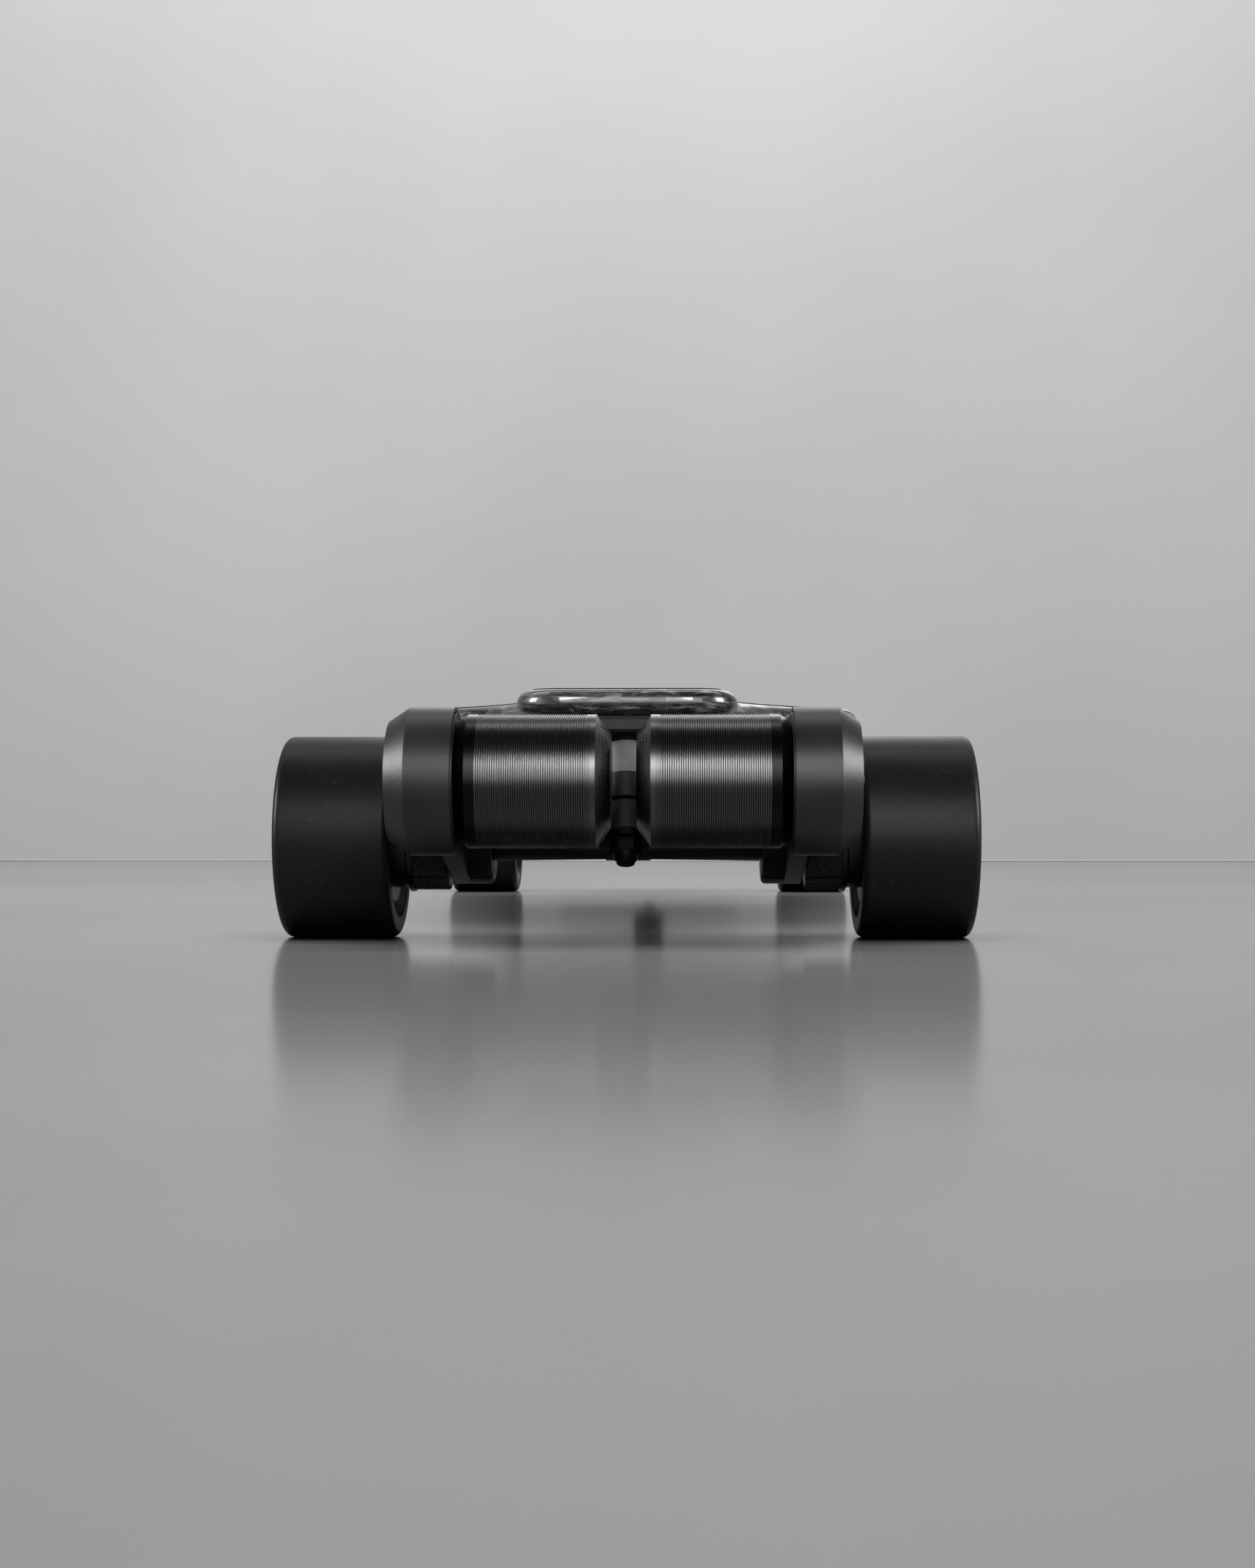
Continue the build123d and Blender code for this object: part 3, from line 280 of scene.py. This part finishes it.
def forged_carbon():
    """Chopped carbon flakes under a clear coat; on an edge the pressed layers show as streaks."""
    make = Maker("forged_carbon", roughness=0.35, coat=0.55, coat_roughness=0.05, specular=0.5)
    warp = make.add("ShaderNodeTexNoise", Vector=make.place, Scale=30.0, Detail=3.0)
    bent = make.add("ShaderNodeVectorMath", Vector=make.place)
    bent.operation = "MULTIPLY_ADD"
    make.tree.links.new(warp.outputs["Color"], bent.inputs[0])
    bent.inputs[1].default_value = (0.03, 0.03, 0.006)
    make.tree.links.new(make.place, bent.inputs[2])
    layers = []
    for turn, scale in ((0.5, 80.0), (-0.7, 130.0), (1.9, 210.0)):
        spun = make.add("ShaderNodeMapping", Vector=bent.outputs["Vector"])
        spun.inputs["Rotation"].default_value = (0.0, 0.0, turn)
        spun.inputs["Scale"].default_value = (1.0, 0.42, 4.0)
        flake = make.add("ShaderNodeTexVoronoi", Vector=spun.outputs["Vector"], Scale=scale)
        flake.inputs["Randomness"].default_value = 1.0
        tone = make.add("ShaderNodeSeparateColor", Color=flake.outputs["Color"])
        fibres = make.stretched((900.0, 40.0, 900.0), spun.outputs["Vector"])
        streak = make.noise(1.0, 2.0, fibres)
        shade = make.mix(0.35, tone.outputs["Red"], streak, "MULTIPLY")
        layers.append((shade, tone.outputs["Green"]))
    first = make.mix(0.5, layers[0][0], layers[1][0])
    blended = make.mix(0.4, first, layers[2][0])
    pressed = make.noise(1.0, 5.0, make.stretched((70.0, 70.0, 900.0), bent.outputs["Vector"]))
    shade = make.mix(0.45, blended, pressed)
    make.colour(make.ramp(shade, [(0.22, 0.004), (0.36, 0.012), (0.50, 0.045), (0.64, 0.17)]))
    make.rough(make.spread(layers[0][1], 0.22, 0.5))
    return make.material


def grit():
    """Grit sheet: black grains with paler worn areas."""
    make = Maker("grip_grit", roughness=0.9, specular=0.3)
    grains = make.noise(2600.0, 2.0)
    worn = make.noise(9.0, 4.0)
    grain_tone = make.ramp(grains, [(0.35, 0.006), (0.7, 0.045)])
    worn_tone = make.ramp(worn, [(0.3, 0.008), (0.8, 0.03)])
    make.colour(make.mix(0.25, grain_tone, worn_tone))
    make.bump(grains, 0.0006)
    return make.material


def satin_plastic(name, low, high, rough_low, rough_high, specular=0.35):
    """Moulded plastic with a fine sparked texture and faint handling marks."""
    make = Maker(name, specular=specular)
    grains = make.noise(2200.0, 2.0)
    marks = make.noise(26.0, 5.0)
    make.colour(make.ramp(marks, [(0.3, low), (0.7, high)]))
    make.rough(make.spread(marks, rough_low, rough_high))
    make.bump(grains, 0.00006)
    return make.material


def urethane():
    """Cast urethane: satin, with faint rings from trimming and a little dust."""
    make = Maker("urethane", specular=0.16)
    cloudy = make.noise(18.0, 5.0)
    fine = make.noise(1500.0, 2.0, make.stretched((1.0, 0.12, 0.12)))
    dust = make.noise(420.0, 4.0)
    speck = make.ramp(dust, [(0.62, 0.0), (0.78, 0.05)])
    base = make.ramp(cloudy, [(0.3, 0.004), (0.75, 0.008)])
    make.colour(make.mix(0.3, base, speck, "ADD"))
    make.rough(make.spread(cloudy, 0.34, 0.50))
    make.bump(fine, 0.00004, 0.7)
    return make.material


def painted(name, tone):
    """Powder coat with a fine orange peel."""
    make = Maker(name, specular=0.3)
    peel = make.noise(700.0, 2.0)
    marks = make.noise(30.0, 5.0)
    make.colour(make.ramp(marks, [(0.3, tone * 0.8), (0.7, tone * 1.3)]))
    make.rough(make.spread(marks, 0.36, 0.5))
    make.bump(peel, 0.00005, 0.6)
    return make.material


def metal(name, tone, rough_low, rough_high):
    """Machined metal with fine tool lines round the crosswise axis."""
    make = Maker(name, metallic=1.0)
    lines = make.noise(1.0, 2.0, make.stretched((9000.0, 60.0, 60.0)))
    marks = make.noise(40.0, 4.0)
    make.colour(make.ramp(marks, [(0.3, tone * 0.75), (0.7, tone * 1.2)]))
    make.rough(make.spread(lines, rough_low, rough_high))
    make.bump(lines, 0.00002, 0.5)
    return make.material


def ribbed_can():
    """Anodised motor can: painted highlight on the turned ridges, painted shade in the grooves, and a dark band at
    the belt end.
    """
    make = Maker("ribbed_can", metallic=1.0)
    low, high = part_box("right_motor_can")
    first, last, ribs = low.x + 0.0024, high.x - 0.0104, 48
    pitch = (last - first) / ribs
    apart = make.add("ShaderNodeSeparateXYZ", Vector=make.place)
    across = make.math("ABSOLUTE", apart.outputs["X"])
    turns = make.math("DIVIDE", make.math("SUBTRACT", across, first), pitch)
    ridge = make.math("PINGPONG", turns, 0.5)
    # Painted light: the ridges are lighter and the grooves darker, standing in for highlight and shade on the
    # ribs.
    ribs_with_painted_shade_and_highlight = make.ramp(ridge, [(0.14, 0.005), (0.40, 0.19)])
    marks = make.noise(40.0, 4.0)
    plain = make.ramp(marks, [(0.3, 0.05), (0.7, 0.08)])
    dark = make.ramp(marks, [(0.3, 0.010), (0.7, 0.016)])
    past_first = make.math("GREATER_THAN", across, first)
    past_last = make.math("GREATER_THAN", across, last)
    make.colour(make.mix(past_last, make.mix(past_first, plain, ribs_with_painted_shade_and_highlight), dark))
    lines = make.noise(1.0, 2.0, make.stretched((9000.0, 60.0, 60.0)))
    make.rough(make.spread(lines, 0.24, 0.34))
    return make.material


def rubber(name, tone, rough=0.75):
    """Matt rubber or soft urethane with a fine grain."""
    make = Maker(name, roughness=rough, specular=0.35)
    fine = make.noise(1400.0, 3.0)
    make.colour(make.ramp(make.noise(60.0, 4.0), [(0.3, tone * 0.75), (0.7, tone * 1.3)]))
    make.bump(fine, 0.00012, 0.7)
    return make.material


def belt_rubber():
    """Belt back: coarse ground grain with pale specks."""
    make = Maker("belt_rubber", roughness=0.85, specular=0.3)
    grain = make.noise(1100.0, 5.0)
    make.colour(make.ramp(grain, [(0.4, 0.010), (0.56, 0.035), (0.68, 0.13)]))
    make.bump(grain, 0.0006)
    return make.material


def wrap_film():
    """Blue shrink wrap with soft creases."""
    make = Maker("battery_wrap", roughness=0.3, coat=0.3)
    clouds = make.noise(20.0, 3.0)
    make.colour(make.ramp(clouds, [(0.3, (0.01, 0.05, 0.12)), (0.7, (0.02, 0.08, 0.18))]))
    make.bump(make.noise(60.0, 3.0), 0.0008)
    return make.material


def windings():
    """Enamelled copper wire."""
    make = Maker("stator_windings", metallic=1.0, roughness=0.4)
    wires = make.noise(300.0, 2.0)
    make.colour(make.ramp(wires, [(0.3, (0.2, 0.08, 0.03)), (0.7, (0.45, 0.2, 0.08))]))
    return make.material


def make_materials():
    """One material for each of the record's material slots."""
    return {
        "forged_carbon": forged_carbon(),
        "grip": grit(),
        "cover_plastic": satin_plastic("cover_plastic", 0.007, 0.012, 0.34, 0.46, specular=0.42),
        "soft_rubber": rubber("soft_rubber", 0.015),
        "black_screws": metal("black_screws", 0.06, 0.3, 0.5),
        "battery_wrap": wrap_film(),
        "controller_aluminium": metal("controller_aluminium", 0.12, 0.4, 0.6),
        "trim_plastic": satin_plastic("trim_plastic", 0.006, 0.010, 0.4, 0.5),
        "pulley_aluminium": metal("pulley_aluminium", 0.06, 0.3, 0.45),
        "plated_steel": metal("plated_steel", 0.22, 0.28, 0.42),
        "bearing_steel": metal("bearing_steel", 0.6, 0.15, 0.3),
        "bushing_urethane": rubber("bushing_urethane", 0.09, 0.5),
        "truck_paint": painted("truck_paint", 0.006),
        "mount_paint": painted("mount_paint", 0.006),
        "motor_anodised": metal("motor_anodised", 0.09, 0.24, 0.34),
        "rotor_steel": metal("rotor_steel", 0.4, 0.25, 0.4),
        "stator_steel": windings(),
        "belt_rubber": belt_rubber(),
        "urethane": urethane(),
        "wheel_core": satin_plastic("wheel_core", 0.008, 0.014, 0.4, 0.5),
    }


def dress_frame(materials):
    """Gives every CAD node its slot's material."""
    for part in frame["record"]["subparts"]:
        node = nodes[part["node"]]
        node.data.materials.clear()
        node.data.materials.append(materials[part["material_slot"]])


def dress_cans():
    """The ribbed can material, with painted highlight on the ridges and painted shade in the grooves, on both
    motor cans.
    """
    ribs_with_painted_shade_and_highlight = ribbed_can()
    for side_name in sides:
        nodes[f"{side_name}_motor_can"].data.materials[0] = ribs_with_painted_shade_and_highlight


def dress_kingpins():
    """Black hardware on the kingpins, and a near-black material on the lower, road-side half of each bushing."""
    black = metal("black_kingpin_steel", 0.008, 0.45, 0.6)
    for name in ("kingpins", "kingpin_nuts", "kingpin_washers"):
        nodes[name].data.materials[0] = black
    road_side = rubber("road_side_urethane", 0.005, 0.6)
    for name in ("rear_bushings", "front_bushings"):
        low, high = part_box(name)
        mesh = nodes[name].data
        mesh.materials.append(road_side)
        for face in mesh.polygons:
            face.material_index = 1 if face.center.z < (low.z + high.z) / 2 else 0


# =====================================================================
# Pieces
# =====================================================================


def mesh_object(name, points, faces, materials_used):
    """A mesh piece with outward normals, smooth where its faces meet at under 35 degrees."""
    mesh = bpy.data.meshes.new(name)
    mesh.from_pydata(points, [], faces)
    piece = bpy.data.objects.new(name, mesh)
    bpy.context.scene.collection.objects.link(piece)
    for material in materials_used:
        mesh.materials.append(material)
    shape = bmesh.new()
    shape.from_mesh(mesh)
    bmesh.ops.recalc_face_normals(shape, faces=shape.faces)
    shape.to_mesh(mesh)
    shape.free()
    mesh.shade_smooth()
    mesh.set_sharp_from_angle(angle=math.radians(35))
    return piece


def closed_sweep(sections):
    """Points and faces of a closed loop of equal cross-sections."""
    count = len(sections[0])
    points = [point for section in sections for point in section]
    faces = []
    for station in range(len(sections)):
        here, ahead = station * count, (station + 1) % len(sections) * count
        for k in range(count):
            after = (k + 1) % count
            faces.append((here + k, here + after, ahead + after, ahead + k))
    return points, faces


def ring_sections(profile, centre, steps):
    """A closed (x, radius) profile turned about the crosswise axis through centre (y, z)."""
    sections = []
    for step in range(steps):
        turn = 2 * math.pi * step / steps
        y, z = math.cos(turn), math.sin(turn)
        sections.append([(x, centre[0] + r * y, centre[1] + r * z) for x, r in profile])
    return sections


def belt_stations(wheel_at, motor_at, wheel_r, motor_r, tooth):
    """Points on the belt's inner face with their outward directions and tooth depths, once round."""
    wheel_centre, motor_centre = Vector(wheel_at), Vector(motor_at)
    across = wheel_centre - motor_centre
    along = across.normalized()
    up = Vector((-along.y, along.x))
    lean = math.acos((wheel_r - motor_r) / across.length)
    pitch, width, height = tooth
    by_wheel, by_motor = 0.0105, 0.0075
    stations = []

    def outward(turn):
        return along * math.cos(turn) + up * math.sin(turn)

    def arc(centre, radius, start, end):
        steps = 36
        for step in range(steps + 1):
            out = outward(start + (end - start) * step / steps)
            stations.append((centre + out * radius, out, 0.0))

    def straight(start, end, out, first, last):
        """Round teeth along a run, leaving its first and last lengths bare."""
        run = end - start
        length = run.length
        steps = 12
        for index in range(int((length - first - last) / pitch)):
            middle = first + pitch * (index + 0.5)
            for step in range(steps + 1):
                share = -1 + 2 * step / steps
                depth = height * math.sqrt(max(0.0, 1 - share * share))
                spot = start + run * ((middle + share * width / 2) / length)
                stations.append((spot, out, depth))

    upper, lower = outward(lean), outward(-lean)
    arc(wheel_centre, wheel_r, -lean, lean)
    straight(wheel_centre + upper * wheel_r, motor_centre + upper * motor_r, upper, by_wheel, by_motor)
    arc(motor_centre, motor_r, lean, 2 * math.pi - lean)
    straight(motor_centre + lower * motor_r, wheel_centre + lower * wheel_r, lower, by_motor, by_wheel)
    return stations


def make_belt(side_name, materials):
    """Drive belt with round teeth where it runs free between the pulleys."""
    node = f"{side_name}_drive_belt"
    low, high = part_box(node)
    thick, bevel = 0.00135, 0.0003
    wheel_r = high.y - rear_y - thick
    motor_r = motor_y - low.y - thick
    tooth = (0.005, 0.0031, 0.0017)
    wheel_at, motor_at = (rear_y, axle_z), (motor_y, motor_z)
    sections = []
    for spot, out, depth in belt_stations(wheel_at, motor_at, wheel_r, motor_r, tooth):
        inner, outer = spot - out * depth, spot + out * thick
        shoulder = outer - out * bevel
        sections.append([
            (low.x, inner.x, inner.y),
            (high.x, inner.x, inner.y),
            (high.x, shoulder.x, shoulder.y),
            (high.x - bevel, outer.x, outer.y),
            (low.x + bevel, outer.x, outer.y),
            (low.x, shoulder.x, shoulder.y),
        ])
    piece = mesh_object(f"{side_name}_toothed_belt", *closed_sweep(sections), [materials["belt_rubber"]])
    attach(piece, "rear_truck")
    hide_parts(node)


def make_bearings(end, side_name, materials):
    """Two shielded bearings with the spacer between them."""
    node = f"{end}_{side_name}_bearings"
    low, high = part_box(node)
    width, bore, outside = 0.007, 0.00405, 0.011
    inner_land, outer_land = 0.0062, 0.0092
    shield_gap, shield_inset = 0.00005, 0.0004
    edge = 0.0003
    centre = ((low.y + high.y) / 2, (low.z + high.z) / 2)
    metal_face, shield_face = 0, 1

    def ring(x0, x1, inner, outer):
        return [(x0, inner + edge), (x0 + edge, inner), (x1 - edge, inner), (x1, inner + edge),
                (x1, outer - edge), (x1 - edge, outer), (x0 + edge, outer), (x0, outer - edge)]

    points, faces, kinds = [], [], []
    spacer = ring(low.x + width, high.x - width, bore, inner_land)
    rings = [(spacer, metal_face)]
    for x0 in (low.x, high.x - width):
        x1 = x0 + width
        rings.append((ring(x0, x1, bore, inner_land), metal_face))
        rings.append((ring(x0, x1, outer_land, outside), metal_face))
        shield = ring(x0 + shield_inset, x1 - shield_inset, inner_land + shield_gap, outer_land - shield_gap)
        rings.append((shield, shield_face))
    for profile, kind in rings:
        more_points, more_faces = closed_sweep(ring_sections(profile, centre, 64))
        base = len(points)
        points += more_points
        faces += [tuple(base + k for k in face) for face in more_faces]
        kinds += [kind] * len(more_faces)
    piece = mesh_object(f"{end}_{side_name}_bearing_set", points, faces,
                        [materials["bearing_steel"], materials["soft_rubber"]])
    for face, kind in zip(piece.data.polygons, kinds):
        face.material_index = kind
    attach(piece, f"{end}_{side_name}_wheel")
    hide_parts(node)


def make_cover_screws(side_name, materials):
    """Three button-head screws with hexagon sockets that hold each belt cover to its mount plate."""
    low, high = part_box(f"{side_name}_belt_cover")
    side = sides[side_name]
    face_x = high.x if side > 0 else low.x
    head, rise, socket, deep, sunk = 0.0026, 0.0011, 0.0012, 0.0009, 0.0004
    circle = 0.0215
    steps = 36
    round_rings = [(-sunk, head), (0.0003, head), (0.0008, head * 0.86), (rise, head * 0.62)]
    rings = [(out, radius, False) for out, radius in round_rings]
    rings += [(rise, socket, True), (rise - deep, socket, True)]
    points, faces = [], []
    for turn in (math.radians(95), math.radians(180), math.radians(265)):
        y, z = motor_y + circle * math.cos(turn), motor_z + circle * math.sin(turn)
        base = len(points)
        for out, radius, six in rings:
            x = face_x + side * out
            for step in range(steps):
                angle = 2 * math.pi * step / steps
                corner = (angle + math.pi / 6) % (math.pi / 3) - math.pi / 6
                reach = radius / math.cos(corner) if six else radius
                points.append((x, y + reach * math.cos(angle), z + reach * math.sin(angle)))
        for level in range(len(rings) - 1):
            here, ahead = base + level * steps, base + (level + 1) * steps
            for k in range(steps):
                after = (k + 1) % steps
                faces.append((here + k, here + after, ahead + after, ahead + k))
        faces.append(tuple(range(base, base + steps)))
        top = base + (len(rings) - 1) * steps
        faces.append(tuple(range(top, top + steps)))
    piece = mesh_object(f"{side_name}_cover_screws", points, faces, [materials["black_screws"]])
    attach(piece, "rear_truck")


make_camera()
make_light(make_stage())
materials = make_materials()
dress_frame(materials)
dress_cans()
dress_kingpins()
for side_name in sides:
    make_belt(side_name, materials)
    make_cover_screws(side_name, materials)
    for end in ("rear", "front"):
        make_bearings(end, side_name, materials)
